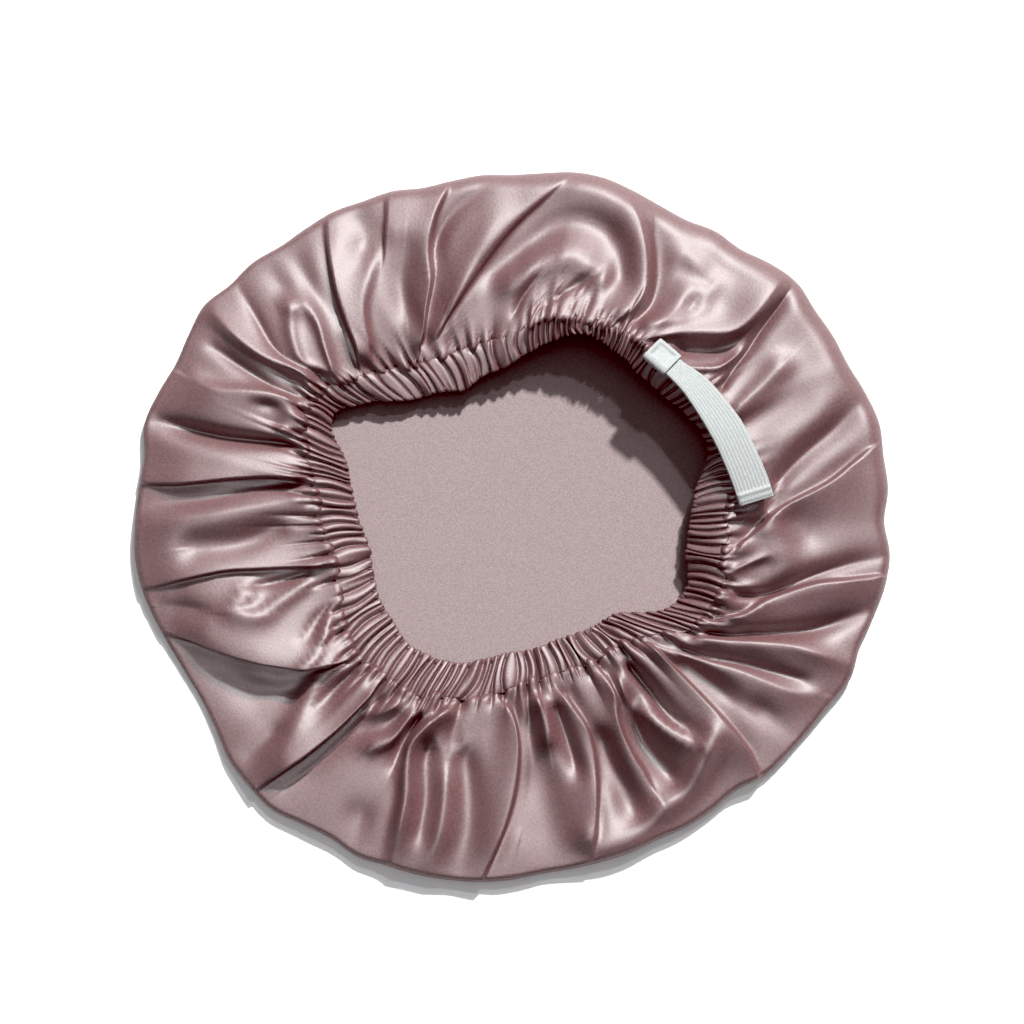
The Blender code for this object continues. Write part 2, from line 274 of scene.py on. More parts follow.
def ripple(degrees, count, seed):
    """A wave of about count bumps round the bonnet, from -1 to 1, unevenly spaced."""
    angle = np.radians(degrees)
    phase = count * angle + seed
    for k, (times, swing) in enumerate(((3, 1.3), (7, 1.1), (13, 0.9), (23, 0.7), (41, 0.45))):
        phase = phase + swing * np.sin(times * angle + seed * (k + 2.3))
    return np.cos(phase)


# The gathers round the seam, each with its own width, crest and sharpness. Some of them run on into
# the bag as puckers. At angles round the mouth: how wide they are, in millimetres, and how far they
# slant over the casing, in gathers.
GATHERS = (
    (0, 3.7, 0.4), (20, 3.2, 0.2), (38, 5.3, 0.0), (48, 5.3, 0.0), (52, 2.8, 0.3), (60, 2.4, 1.0),
    (75, 2.5, 1.2), (82, 3.0, 0.8), (95, 4.8, 0.5), (110, 5.3, 0.4), (125, 4.4, 0.5), (140, 2.8, 0.3),
    (150, 2.4, 0.0), (160, 3.0, -0.2), (175, 3.9, 0.0), (190, 4.4, 0.2), (200, 4.8, 0.1), (215, 3.9, 0.3),
    (230, 3.7, 0.5), (245, 3.4, -0.9), (255, 4.6, -0.9), (265, 5.5, -0.3), (272, 3.9, 0.0),
    (290, 3.9, 0.4), (310, 3.7, 0.8), (320, 3.0, 2.4), (330, 2.5, 2.2), (340, 2.6, 0.5), (350, 3.4, 0.0),
    (360, 3.7, 0.4),
)
# How each differs by chance: the least value and the spread above it. Reach is in millimetres.
WIDTH_LEAST, WIDTH_SPREAD = 0.55, 0.9
CREST_LEAST, CREST_SPREAD = 0.3, 0.4
POWER_LEAST, POWER_SPREAD = 1.4, 2.0
HEIGHT_LEAST, HEIGHT_SPREAD = 0.55, 0.6
RUNNING_ON = 0.55
REACH_LEAST, REACH_SPREAD = 4.0, 14.0
# Where the gathers are rounder, in degrees, and how much is added to their power there.
ROUNDER_AT = (0, 36, 48, 55, 80, 90, 135, 145, 180, 360)
ROUNDER_BY = (1, 3, 3, 0, 0, 3.5, 3, 0, 1, 1)
gather_table = np.array(GATHERS)
chance = np.random.RandomState(11)
gather_ends = [0.0]
while gather_ends[-1] < 360.0:
    end = gather_ends[-1]
    arc = np.radians(1.0) * float(at_angle("seam", end) + at_angle("edge", end)) / 2
    width = np.interp(end, gather_table[:, 0], gather_table[:, 1]) * MM
    width = width * (WIDTH_LEAST + WIDTH_SPREAD * chance.rand())
    gather_ends.append(end + width / arc)
gather_ends = np.array(gather_ends) * 360.0 / gather_ends[-1]
GATHER_COUNT = len(gather_ends) - 1
rounder = np.interp(gather_ends[:-1], ROUNDER_AT, ROUNDER_BY)
crest_at = CREST_LEAST + CREST_SPREAD * chance.rand(GATHER_COUNT)
crest_power = POWER_LEAST + POWER_SPREAD * chance.rand(GATHER_COUNT) ** 2 + rounder
crest_height = HEIGHT_LEAST + HEIGHT_SPREAD * chance.rand(GATHER_COUNT)
pucker_ends = np.append(gather_ends[:-1][chance.rand(GATHER_COUNT) < RUNNING_ON], 360.0)
pucker_ends[0] = 0.0
pucker_lengths = REACH_LEAST + REACH_SPREAD * chance.rand(len(pucker_ends) - 1) ** 1.3


def gather(degrees, ends=gather_ends):
    """The gathers or puckers round the mouth, from 0 in a crease to about 1 on a crest."""
    count = len(ends) - 1
    phase = np.interp(degrees % 360.0, ends, np.arange(count + 1)) % count
    index = np.floor(phase).astype(int) % count
    part = phase - np.floor(phase)
    crest = crest_at[index]
    away = np.where(part < crest, (crest - part) / crest, (part - crest) / (1 - crest))
    return crest_height[index] * (1 - away ** crest_power[index])


def pucker_reach(degrees):
    """How far each pucker runs out into the bag, in millimetres."""
    middles = (pucker_ends[1:] + pucker_ends[:-1]) / 2
    return np.interp(degrees % 360.0, middles, pucker_lengths, period=360.0)


# The folded layer in plan: its columns of points run beside the folds, and its rows bunch up at the
# rim and the seam. Each line is given in degrees at the rim, halfway and at the seam.
FLOW = (
    (12, 4.9, -6), (19, 12.8, -2), (31, 29, 24), (40.5, 36.8, 33), (42.8, 41.2, 53), (66, 60, 57),
    (74.5, 61.8, 64), (81.5, 94.5, 115), (100.5, 108, 119.5), (121.3, 128, 136.5), (139, 143.6, 142.5),
    (145, 146.1, 147), (149.7, 150.3, 149.5), (164, 163.5, 160.4), (174, 171, 167.3), (190, 189.3, 193),
    (197.3, 209.3, 221), (225.8, 228.8, 230.6), (250.5, 247.7, 252), (264.8, 270.3, 267),
    (283, 288.7, 286), (299, 297.3, 301.5), (313.6, 316.9, 317.9), (331, 326.5, 319.5),
    (337.2, 334.9, 326.5), (346.5, 337.9, 329.8), (351.7, 347.1, 334), (355, 349.3, 340),
)
BAG_COLUMNS, LAYER_ROWS = 1240, 32
BLUR_COLUMNS = 13
ROWS_BUNCHED = 0.45


def blurred(bend):
    """A value for each column, blurred over its neighbours."""
    blur = np.hanning(BLUR_COLUMNS)
    side = BLUR_COLUMNS // 2
    return np.convolve(np.concatenate([bend[-side:], bend, bend[:side]]), blur / blur.sum(), "valid")


flow = np.array(FLOW, float)
flow = np.vstack([flow[-2:] - 360.0, flow, flow[:2] + 360.0])
flow_middles = (flow[:, 0] + flow[:, 2]) / 2
columns = np.arange(BAG_COLUMNS) * 360.0 / BAG_COLUMNS
drift = blurred(np.interp(columns, flow_middles, flow[:, 2] - flow[:, 0]))
swerve = blurred(np.interp(columns, flow_middles, flow[:, 1] - flow_middles))
steps = np.linspace(0, 1, LAYER_ROWS)[:, None]
share = steps - ROWS_BUNCHED * np.sin(2 * np.pi * steps) / (2 * np.pi)
degrees = columns + drift * (share - 0.5) + swerve * 4 * share * (1 - share)
rim = at_angle("rim", degrees)
seam = at_angle("seam", degrees)
radius = rim + (seam - rim) * share
from_seam = radius - seam
from_rim = rim - radius
plan = np.stack([radius * np.cos(np.radians(degrees)), radius * np.sin(np.radians(degrees))], axis=-1)

# The long folds, a height below 0 being a valley: height, width towards lower and higher degrees,
# sharpness, lean towards higher degrees, share of the height at the outer and inner end, and a path
# of (degrees, radius). Lengths are in millimetres.
FOLDS = (
    (5, 9, 3.5, 1.4, 1.2, 0.6, 0.9, ((11.2, 169), (9.8, 162), (6.6, 147), (2.9, 126), (-2.2, 114),
     (-6, 106))),
    (-4, 5, 5, 1.7, 0, 1, 0.6, ((19, 172), (16, 155), (13, 139), (9, 126), (3, 119), (-3, 109))),
    (3, 9, 12, 2, 0, 1, 0.6, ((25, 168), (20, 151), (17, 134), (15, 121))),
    (4.5, 7, 6, 1.8, 0, 1, 0.8, ((30, 143), (28.5, 132), (27, 118))),
    (-5, 3, 2, 1.3, 0, 1, 1, ((40.5, 174), (39, 160), (37.5, 145), (36, 135), (34, 121), (32.5, 115))),
    (6.5, 3.4, 11, 1.6, -1, 1, 0.8, ((42.5, 173), (41.5, 160), (40.8, 145), (41.5, 134), (46, 123),
     (50, 115), (54, 105))),
    (-5, 5, 5, 1.6, 0, 0.5, 1, ((38.5, 131), (41, 121), (45, 113))),
    (3, 2, 2, 1.4, 0, 0.5, 0.6, ((36.5, 134), (36.6, 121), (38.5, 114), (42, 107))),
    (-2.5, 8, 8, 1.8, 0, 1, 1, ((51, 153), (57, 160))),
    (2.5, 6, 6, 1.8, 0, 1, 1, ((50, 148), (57, 148))),
    (-1.5, 3, 3, 1.6, 0, 1, 1, ((51, 143), (56, 143))),
    (2.8, 5.5, 5, 1.7, 0, 0.6, 0.8, ((48.5, 134), (50.5, 139), (52.5, 134), (52.5, 123), (56, 111))),
    (1.5, 3.5, 3.5, 1.6, 0, 0.5, 0.8, ((48.5, 129), (51, 121), (55, 113), (57, 108))),
    (-3.5, 5, 4, 1.6, 0, 0.8, 1, ((64, 151), (60, 134), (57.5, 121), (58, 110))),
    (7, 4, 12, 1.6, 0, 0.8, 1, ((77, 168), (70, 159), (65.5, 147), (61.5, 132), (60, 120), (62, 107))),
    (-4.5, 7, 7, 1.8, 0, 0.7, 0.7, ((66, 126), (70, 140), (76, 145), (82, 140), (88, 127), (95, 117))),
    (4.5, 8, 8, 2, 0, 1, 1, ((71, 121), (77, 126), (83, 121), (90, 111))),
    (-3, 3, 3, 1.4, 0, 0.5, 1, ((71, 122), (75, 114), (81, 103))),
    (-2.2, 2.5, 2.5, 1.4, 0, 0.5, 1, ((84, 115), (87, 106), (89, 98))),
    (-2.5, 3, 1.2, 1.3, 0, 0.6, 1, ((79.4, 167), (83.3, 154), (88.3, 141), (93.3, 128), (98.3, 116),
     (103.3, 106), (110.3, 95))),
    (2.6, 2.2, 9, 1.6, -0.4, 0.7, 0.8, ((80, 167), (84, 154), (89, 141), (94, 128), (99, 116),
     (104, 106), (111, 95))),
    (3.5, 8, 8, 1.8, 0, 0.6, 0.7, ((93, 144), (97, 127), (103, 111), (109, 96))),
    (-3.5, 3.5, 3, 1.5, 0, 0.6, 0.6, ((95, 157), (100, 149), (104, 139), (106, 131))),
    (5, 4, 9, 1.5, -0.6, 0.7, 0.9, ((101, 160), (104.5, 147), (107, 134), (108.5, 120), (112, 108),
     (116, 96))),
    (-3.5, 8, 7, 1.8, 0, 0.7, 0.7, ((112, 134), (115, 121), (117, 109))),
    (-4, 7, 7, 1.7, 0, 1, 0.6, ((117, 161), (117, 151), (120, 141))),
    (3.5, 9, 3, 1.4, 0.5, 0.7, 0.4, ((111, 162), (112.5, 152), (114.5, 143))),
    (2.8, 2.8, 8, 1.6, -0.2, 0.3, 0.9, ((116, 142), (120.5, 132), (125, 121), (129, 105))),
    (4.5, 8, 4, 1.4, 0.8, 0.8, 0.9, ((121.5, 166), (124, 152), (127, 135), (129.5, 120), (131.5, 108),
     (136, 97))),
    (-2.5, 5, 5, 1.7, 0, 1, 0.5, ((129.5, 158), (131, 139), (132, 125))),
    (-2, 5, 5, 1.8, 0, 1, 0.7, ((134, 161), (134.5, 151))),
    (3.5, 4, 3, 1.5, 0.4, 0.8, 0.8, ((136, 144), (133.8, 139), (134, 130), (136.5, 120), (140, 108))),
    (2.5, 3, 3, 1.5, 0, 0.8, 0.8, ((136, 143), (139.5, 135), (142.5, 123), (141, 112))),
    (-2.5, 2.5, 2, 1.3, 0, 0.8, 1, ((139.5, 168), (141.5, 152), (143.5, 140), (144, 131), (142.8, 118),
     (142.5, 110))),
    (5, 5, 4, 1.4, 0.6, 1, 0.9, ((145, 170), (146, 155), (146.2, 139), (144.8, 126), (144.5, 117),
     (147, 109))),
    (-3.5, 3, 3, 1.4, 0, 0.8, 1, ((149.7, 162), (150.2, 144), (150.5, 127), (149.5, 114))),
    (-1.5, 2.5, 2.5, 1.4, 0, 0.8, 1, ((147.3, 167), (147.3, 144), (147.5, 121))),
    (5.2, 3.6, 11, 1.6, -0.3, 0.8, 1, ((156, 163), (156.2, 152), (154.2, 138), (151.8, 125), (151.6, 116),
     (154, 109))),
    (-2.5, 4, 4, 1.6, 0, 0.5, 0.5, ((155.5, 131), (154, 121))),
    (3, 3.5, 3, 1.6, 0, 1, 1, ((158, 115), (156.5, 108))),
    (-8, 3.2, 4, 1.5, 0, 0.9, 1, ((164, 172), (164, 155), (163.6, 140), (162.4, 125), (161, 112),
     (160.5, 104))),
    (4.8, 11, 4, 1.5, 1, 1, 1, ((173.8, 172), (173.2, 157), (172, 143), (170.5, 129), (169, 115),
     (167.5, 98))),
    (-3, 4, 4.5, 1.6, 0, 1, 0.9, ((177, 171), (176.5, 154), (175.3, 139), (173, 124), (171, 111),
     (170, 102))),
    (4.5, 7, 9, 1.7, 0, 0.8, 0.9, ((180.5, 167), (179.5, 147), (178.2, 132), (176.5, 116),
     (174.5, 99))),
    (-4, 7, 6, 1.8, 0, 1, 0.7, ((184.5, 146), (184.5, 127), (182, 109))),
    (3.4, 8, 4, 1.3, 0.8, 1, 1, ((190, 170), (189.4, 154), (189.1, 135), (189.9, 120), (191, 104),
     (192.5, 90))),
    (-3, 3, 7, 1.6, 0, 1, 0.5, ((193.5, 167), (194.5, 155), (196, 146))),
    (4, 5, 5, 1.7, 0, 1, 0.8, ((195, 127), (197.5, 133), (200.2, 124), (199, 114), (197, 100))),
    (-3.5, 3, 2.5, 1.5, 0, 0.8, 1, ((194, 121), (194.3, 109), (194, 98))),
    (7.5, 20, 4.5, 1.5, 2.5, 0.4, 0.8, ((198, 166), (200, 157), (203.6, 146), (208, 134), (212, 123),
     (215.3, 114), (217.3, 107))),
    (-5.5, 8, 12, 1.8, 0, 0.5, 0.6, ((203, 162), (208, 151), (214, 139), (217.5, 127), (218.3, 118))),
    (4, 5, 4, 1.6, 0.5, 1, 0.8, ((214.5, 116), (213.3, 108), (210.5, 99), (206, 92))),
    (-3, 3, 3, 1.5, 0, 0.8, 1, ((209.5, 108), (206.5, 100), (204.5, 93))),
    (7, 8, 4, 1.5, 1.5, 0.6, 0.9, ((226, 171), (226.8, 157), (228, 143), (229.2, 127), (229.8, 114),
     (230.3, 101))),
    (4.5, 4, 8, 1.6, 0, 0.6, 0.9, ((224.5, 148), (222.6, 134), (220.4, 123), (218.6, 114),
     (220, 103))),
    (-3.5, 4, 4, 1.6, 0, 0.7, 1, ((224, 121), (223.5, 111), (223.5, 101))),
    (-3.5, 3, 6, 1.5, 0, 0.8, 0.8, ((229.5, 160), (231, 145), (232, 131), (233, 116), (233, 104))),
    (-2.5, 4, 4, 1.7, 0, 1, 1, ((221.5, 161), (221.5, 146))),
    (3, 3.5, 3, 1.6, 0, 1, 1, ((232, 111), (235, 106), (238, 99))),
    (-3, 4, 4, 1.6, 0, 0.7, 0.8, ((234.5, 117), (238, 110), (240, 103))),
    (5.5, 5, 4, 1.5, 0.5, 0.8, 1, ((238, 121), (241, 113), (242, 103), (243.5, 95))),
    (-6.3, 3, 2.5, 1.4, 0, 0.5, 1, ((244.5, 123), (243.8, 111), (244.3, 100))),
    (-3.2, 6, 6, 1.8, 0, 1, 1, ((243.5, 163), (242.5, 153))),
    (8.8, 2.8, 8, 1.6, -0.5, 0.7, 1, ((250.5, 163), (250, 149), (249, 135), (247, 123), (245.5, 113),
     (247.5, 101), (251, 91))),
    (-5.5, 5, 5, 1.6, 0, 0.8, 0.9, ((253.5, 148), (252.5, 132), (250, 118), (249.5, 110))),
    (5.5, 5, 7, 1.6, 0, 0.8, 0.2, ((256.5, 160), (256.8, 144), (256, 127), (254, 113))),
    (2, 4, 4, 1.6, 0, 1, 1, ((251.5, 106), (255, 110), (258, 105))),
    (-4.8, 8, 7, 1.8, 0, 0.9, 0.8, ((261, 160), (261.5, 139), (260, 121), (258, 109))),
    (6.1, 11, 4, 1.4, 1.2, 0.9, 1, ((265, 164), (266.6, 151), (268.8, 135), (270.4, 120), (271.2, 103),
     (270, 90), (267.5, 84))),
    (-2.4, 4, 8, 1.6, 0, 0.6, 1, ((272, 139), (274, 121), (275, 106), (274.5, 93))),
    (-3.2, 10, 10, 1.9, 0, 1, 1, ((277, 160), (277, 139), (277, 121))),
    (6.3, 6, 5, 1.8, 0, 1, 1, ((279.5, 100), (279.5, 88), (278.5, 83))),
    (-4.8, 4, 4, 1.6, 0, 1, 1, ((284.5, 116), (284, 100), (283, 88))),
    (5.6, 9, 5, 1.5, 0.8, 0.8, 1, ((284.5, 149), (285.8, 139), (287.8, 125), (289.3, 112), (289.5, 100),
     (287, 86))),
    (7.9, 5, 5, 1.6, 0, 0.8, 0.7, ((283.5, 149), (285.5, 154), (290, 155), (296, 150), (303, 146),
     (309, 140), (313.5, 134))),
    (-7.2, 6, 6, 1.8, 0, 1, 0.8, ((293, 145), (292.5, 134), (292, 121), (292.5, 108))),
    (-7.2, 5, 5, 1.7, 0, 1, 0.8, ((302, 139), (301, 126), (301, 114), (303.5, 100))),
    (4.2, 7, 4, 1.5, 0.4, 0.6, 1, ((297.8, 132), (297.2, 118), (297.8, 104), (300.5, 93), (301, 83))),
    (6.3, 5, 5, 1.6, 0, 0.6, 1, ((310.5, 134), (308, 124), (305.5, 112), (303, 100), (304, 88))),
    (-6.3, 3, 3.5, 1.5, 0, 0.7, 1, ((310.5, 126), (309, 115), (309, 100), (309, 86))),
    (6.6, 10, 4.5, 1.4, 1.2, 1, 1, ((313.8, 164), (315.6, 151), (316.4, 137), (316.9, 121),
     (317.2, 108), (317.8, 84))),
    (-4.8, 5, 6, 1.7, 0, 0.5, 1, ((321, 134), (321, 116), (320.8, 103))),
    (3.2, 8, 3, 1.6, 0.3, 0.8, 1, ((330.5, 162), (328.6, 151), (327.6, 138), (326.4, 123), (324, 110),
     (320, 93), (318.5, 84))),
    (-3.2, 5, 5, 1.8, 0, 1, 1, ((323, 162), (323, 144))),
    (-3.5, 2.5, 2.5, 1.4, 0, 0.7, 1, ((331.5, 153), (330, 137), (327.8, 121), (325.3, 110),
     (323.5, 98))),
    (5.5, 6, 5, 1.5, 0.6, 1, 1, ((337, 168), (336.4, 153), (335.8, 140), (334, 127), (331.5, 116),
     (328, 102))),
    (-7, 4, 4, 1.6, 0, 1, 1, ((346.5, 172), (343, 158), (340, 146), (337.7, 135), (335.2, 124),
     (332.5, 114), (330.5, 104))),
    (6, 9, 4.5, 1.5, 0.8, 1, 1, ((351.5, 172), (350, 158), (348.6, 145), (346.2, 134), (342.8, 123),
     (338, 115), (335.2, 107))),
    (-4.5, 3, 4, 1.5, 0, 1, 1, ((354.5, 171), (353, 158), (350.8, 145), (348, 134), (344.5, 123),
     (341.8, 109))),
    (2.5, 3, 3, 1.5, 0, 0.8, 1, ((345, 116), (345, 108), (347, 101))),
    (2.5, 3, 3, 1.5, 0, 0.8, 1, ((352, 117), (349.5, 109), (347, 103))),
    (3, 8, 8, 1.9, 0, 1, 1, ((351, 127), (356, 123), (361, 119))),
    (-2.5, 8, 8, 1.9, 0, 1, 1, ((358, 137), (360, 131))),
)
# How far from its line a fold is worked out, in widths, and the steps on that line.
FOLD_REACH, FOLD_STEPS = 4.5, 128
# How much wider folds are at the rim, halfway and at the seam, and the shares of its length at which
# a fold starts, has its full height and ends.
WIDENING = ((0, 0.5, 1), (1.35, 1.0, 0.5))
FULL_HEIGHT = (0, 0.22, 0.78, 1)
# A sharp ridge that is much narrower on one side is a knife fold. That side drops steeply, from a
# broader flank on the other side, to a crease that is narrow inwards and fades outwards.
KNIFE_SHARPNESS, KNIFE_LOPSIDED, KNIFE_LEAN = 1.55, 1.4, 0.7
DROP_WIDTH, DROP_SHARPNESS = 0.95, 2.0
FLANK_BROADER, FLANK_SHARPNESS = 1.25, 1.35
CREASE_AT, CREASE_IN, CREASE_OUT, CREASE_DEPTH = 1.9 * MM, 0.8 * MM, 4.5 * MM, 0.36
relief = np.zeros_like(radius)
shift = np.zeros_like(plan)


def add_fold(height, low_side, high_side, sharp, lean, outer, inner, path):
    """Raise or sink one fold in the layer's relief, and lean it to its side."""
    angle = np.radians([p[0] for p in path])
    distance_out = np.array([p[1] for p in path]) * MM
    corners = np.stack([distance_out * np.cos(angle), distance_out * np.sin(angle)], axis=1)
    line = smooth_line(corners, FOLD_STEPS)[1]
    run = unit(np.gradient(line, axis=0))
    reach = FOLD_REACH * max(low_side, high_side) * MM
    near = ((plan > line.min(0) - reach) & (plan < line.max(0) + reach)).all(-1)
    away = plan[near][:, None] - line[None]
    length = np.linalg.norm(away, axis=2)
    best = length.argmin(1)
    each = np.arange(len(best))
    side = away[each, best, 0] * run[best, 1] - away[each, best, 1] * run[best, 0]
    beyond = (best == 0) | (best == len(line) - 1)
    distance = np.where(beyond, length[each, best], np.abs(side))
    width = np.where(side > 0, high_side, low_side) * np.interp(share[np.nonzero(near)[0], 0], *WIDENING)
    crease = 0.0
    lopsided = max(low_side, high_side) > KNIFE_LOPSIDED * min(low_side, high_side)
    if height > 0 and sharp < KNIFE_SHARPNESS and lopsided:
        steep = (side > 0) == (high_side < low_side)
        foot = distance - CREASE_AT
        crease = steep * np.exp(-((foot / np.where(foot < 0, CREASE_IN, CREASE_OUT)) ** 2))
        width = np.where(steep, DROP_WIDTH, width * FLANK_BROADER)
        sharp = np.where(steep, DROP_SHARPNESS, FLANK_SHARPNESS)
        lean = KNIFE_LEAN * lean
    width = width * MM
    taper = np.interp(best / (len(line) - 1), FULL_HEIGHT, [outer, 1, 1, inner])
    profile = np.exp(-((distance / width) ** sharp)) - CREASE_DEPTH * crease
    relief[near] += height * MM * taper * profile
    normal = np.stack([run[best, 1], -run[best, 0]], axis=1)
    shift[near] += normal * (lean * MM * taper * np.exp(-((distance / width) ** 2)))[:, None]


for fold in FOLDS:
    add_fold(*fold)

# Its height. The rim rises from the surface, less where a deep fold runs out at the lower left.
RIM_RISE = 3.9 * MM
RIM_DIP, DIP_AT, DIP_SPAN = 0.5, 208.0, 12.0
# The lip inside the rim is plump at the back right, and a little fuller at the near side.
LIP_HEIGHT, LIP_WIDTH = 0.8 * MM, 1.5 * MM
PLUMP_AT, PLUMP_POWER, PLUMP_HEIGHT, PLUMP_WIDTH = 55.0, 1.5, 13.5 * MM, 10.0 * MM
NEAR_AT, NEAR_HEIGHT, NEAR_WIDTH = 285.0, 2.2 * MM, 1.0 * MM
# The slope from the lip to the layer's full height, in millimetres, is widest at the back right.
SLOPE_WIDTH, SLOPE_SWING, SLOPE_AT, SLOPE_POWER = 47, 12, 66.0, 1.7
SEAM_LIFT, SEAM_POWER = 0.5 * MM, 4
# Folds come down to a share of their height over the last stretch to the rim and to the seam.
CALM_AT_RIM, RIM_SHARE = 24 * MM, 0.3
CALM_AT_SEAM, SEAM_SHARE = 10 * MM, 0.25
# Puckers and gathers run out from the seam, and the cloth between them ripples a little.
LONG_PUCKER, LONG_POWER, MEAN_PUCKER = 4.4 * MM, 1.5, 0.5
SHORT_PUCKER, SHORT_REACH, SHORT_POWER, MEAN_GATHER = 2.1 * MM, 3.0 * MM, 1.5, 0.6
RIPPLE, RIPPLES, RIPPLE_REACH = 0.8 * MM, 31, 34 * MM
# The layer lands softly on its lowest height.
LOWEST, LANDING = 2.2 * MM, 1.2 * MM
plump = np.clip(np.cos(np.radians(degrees - PLUMP_AT)), 0, 1) ** PLUMP_POWER
near_side = np.clip(np.cos(np.radians(degrees - NEAR_AT)), 0, 1)
lip_height = LIP_HEIGHT + PLUMP_HEIGHT * plump + NEAR_HEIGHT * near_side
lip_width = LIP_WIDTH + PLUMP_WIDTH * plump + NEAR_WIDTH * near_side
rim_rise = RIM_RISE * (1 - RIM_DIP * np.exp(-(((degrees - DIP_AT) / DIP_SPAN) ** 2)))
lip = rim_rise + lip_height * np.sqrt(1 - (1 - np.clip(from_rim / lip_width, 0, 1)) ** 2)
slope_width = (SLOPE_WIDTH + SLOPE_SWING * np.cos(np.radians(degrees - SLOPE_AT))) * MM
slope = 1 - (1 - np.clip(from_rim / slope_width, 0, 1)) ** SLOPE_POWER
base = lip + (at_angle("puff_z", degrees) - rim_rise - lip_height) * slope
base = base + (at_angle("seam_z", degrees) + SEAM_LIFT - base) * share**SEAM_POWER
rim_calm = RIM_SHARE + eased(np.clip(from_rim / CALM_AT_RIM, 0, 1), 1 - RIM_SHARE)
seam_calm = eased(np.clip(from_seam / CALM_AT_SEAM, 0, 1))
puckers = gather(degrees, pucker_ends)
pucker = (
    LONG_PUCKER * (puckers - MEAN_PUCKER)
    * np.exp(-((from_seam / (pucker_reach(degrees) * MM)) ** LONG_POWER))
    + SHORT_PUCKER * (gather(degrees) - MEAN_GATHER)
    * np.exp(-((from_seam / SHORT_REACH) ** SHORT_POWER))
    + RIPPLE * ripple(degrees, RIPPLES, seed=3.0) * np.exp(-from_seam / RIPPLE_REACH)
)
height = base + relief * rim_calm * (SEAM_SHARE + (1 - SEAM_SHARE) * seam_calm) + pucker
height = LOWEST + LANDING * np.logaddexp(0, (height - LOWEST) / LANDING)

# The rows of the bag: two on the flat crown, the roll that turns up at the rim, the folded layer, and
# a hem tucked under the casing. Crests of the gathers reach in over the seam.
CROWN_ROWS, CROWN_SHARES = 2, (0.55, 0.985)
ROLL_ROWS, ROLL_DEPTH = 5, 7.0 * MM
CREST_IN, CREST_REACH = 2.4 * MM, 3 * MM
GATHER_PART, PUCKER_PART, MEAN_CREST = 0.4, 0.6, 0.55
TUCK_IN, TUCK_DOWN = 2.6 * MM, 1.3 * MM
crest_in = CREST_IN * (GATHER_PART * gather(degrees) + PUCKER_PART * puckers - MEAN_CREST)
crest_in = crest_in * np.exp(-from_seam / CREST_REACH)
layer = true_place(degrees, radius - crest_in, height)
layer[..., :2] += shift * (np.clip(from_rim / LIP_WIDTH, 0, 1) * rim_calm * seam_calm)[..., None]
tucked = true_place(degrees[-1], seam[-1] - crest_in[-1] - TUCK_IN, height[-1] - TUCK_DOWN)
quarter = np.linspace(0, np.pi / 2, ROLL_ROWS, endpoint=False)[:, None]
roll_turns = np.broadcast_to(degrees[0], (ROLL_ROWS, BAG_COLUMNS))
roll = true_place(roll_turns, rim[0] - ROLL_DEPTH * (1 - np.sin(quarter)), height[0] * (1 - np.cos(quarter)))
crown_edge = true_place(degrees[0], rim[0] - ROLL_DEPTH, np.zeros(BAG_COLUMNS))
crown = crown_edge[None] * np.linspace(*CROWN_SHARES, CROWN_ROWS)[:, None, None]
crown[..., 2] = 0.0
bag_spots = np.concatenate([crown, roll, layer, tucked[None]])

# The satin is glossy and a deep rose that its sheen makes paler. Its wrong side is pale and matte.
SATIN_FINISH = {"Roughness": 0.57, "IOR": 1.7, "Specular IOR Level": 1.0}
SATIN_SHADES = ((0.080, 0.027, 0.030), (0.168, 0.065, 0.068))
WRONG_SIDE_FINISH = {"Roughness": 0.72, "Specular IOR Level": 0.1}
WRONG_SIDE_SHADES = ((0.29, 0.230, 0.232), (0.415, 0.336, 0.34))
GRAIN_DETAIL, GRAIN_STOPS, GRAIN_RELIEF = 2.0, (0.3, 0.7), 0.2 * MM


def cloth_material(name, finish, grain_scale, shades, grain_strength=None):
    """A material with a fine grain in its colour and, where it has a strength, in its relief."""
    material = bpy.data.materials.new(name)
    material.use_nodes = True
    nodes, links = material.node_tree.nodes, material.node_tree.links
    shader = nodes["Principled BSDF"]
    for socket, value in finish.items():
        shader.inputs[socket].default_value = value
    spot = nodes.new("ShaderNodeTexCoord").outputs["Object"]
    grain = nodes.new("ShaderNodeTexNoise")
    grain.inputs["Scale"].default_value = grain_scale
    grain.inputs["Detail"].default_value = GRAIN_DETAIL
    links.new(spot, grain.inputs["Vector"])
    dye = nodes.new("ShaderNodeValToRGB")
    for number, shade in enumerate(shades):
        dye.color_ramp.elements[number].position = GRAIN_STOPS[number]
        dye.color_ramp.elements[number].color = (*shade, 1)
    links.new(grain.outputs["Fac"], dye.inputs["Fac"])
    links.new(dye.outputs["Color"], shader.inputs["Base Color"])
    if grain_strength is not None:
        bump = nodes.new("ShaderNodeBump")
        bump.inputs["Strength"].default_value = grain_strength
        bump.inputs["Distance"].default_value = GRAIN_RELIEF
        links.new(grain.outputs["Fac"], bump.inputs["Height"])
        links.new(bump.outputs["Normal"], shader.inputs["Normal"])
    return material


satin = cloth_material("glossy_dusty_rose_satin", SATIN_FINISH, 900.0, SATIN_SHADES, 0.4)
wrong_side = cloth_material("matte_satin_back", WRONG_SIDE_FINISH, 1500.0, WRONG_SIDE_SHADES, 0.25)

bm = bmesh.new()
crown_ring = cloth_rings(bm, BAG_COLUMNS, len(bag_spots))[0]
bmesh.ops.contextual_create(bm, geom=crown_ring)
bag = finished_piece("satin_bag_cloth", bm, bag_spots, satin, wrong_side)
wall = bag.modifiers.new("cloth_wall", "SOLIDIFY")
wall.thickness = CLOTH_THICKNESS
wall.offset = -1.0
wall.material_offset = 1
wall.material_offset_rim = 0
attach(bag, "root")
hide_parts("satin_crown", "satin_side")

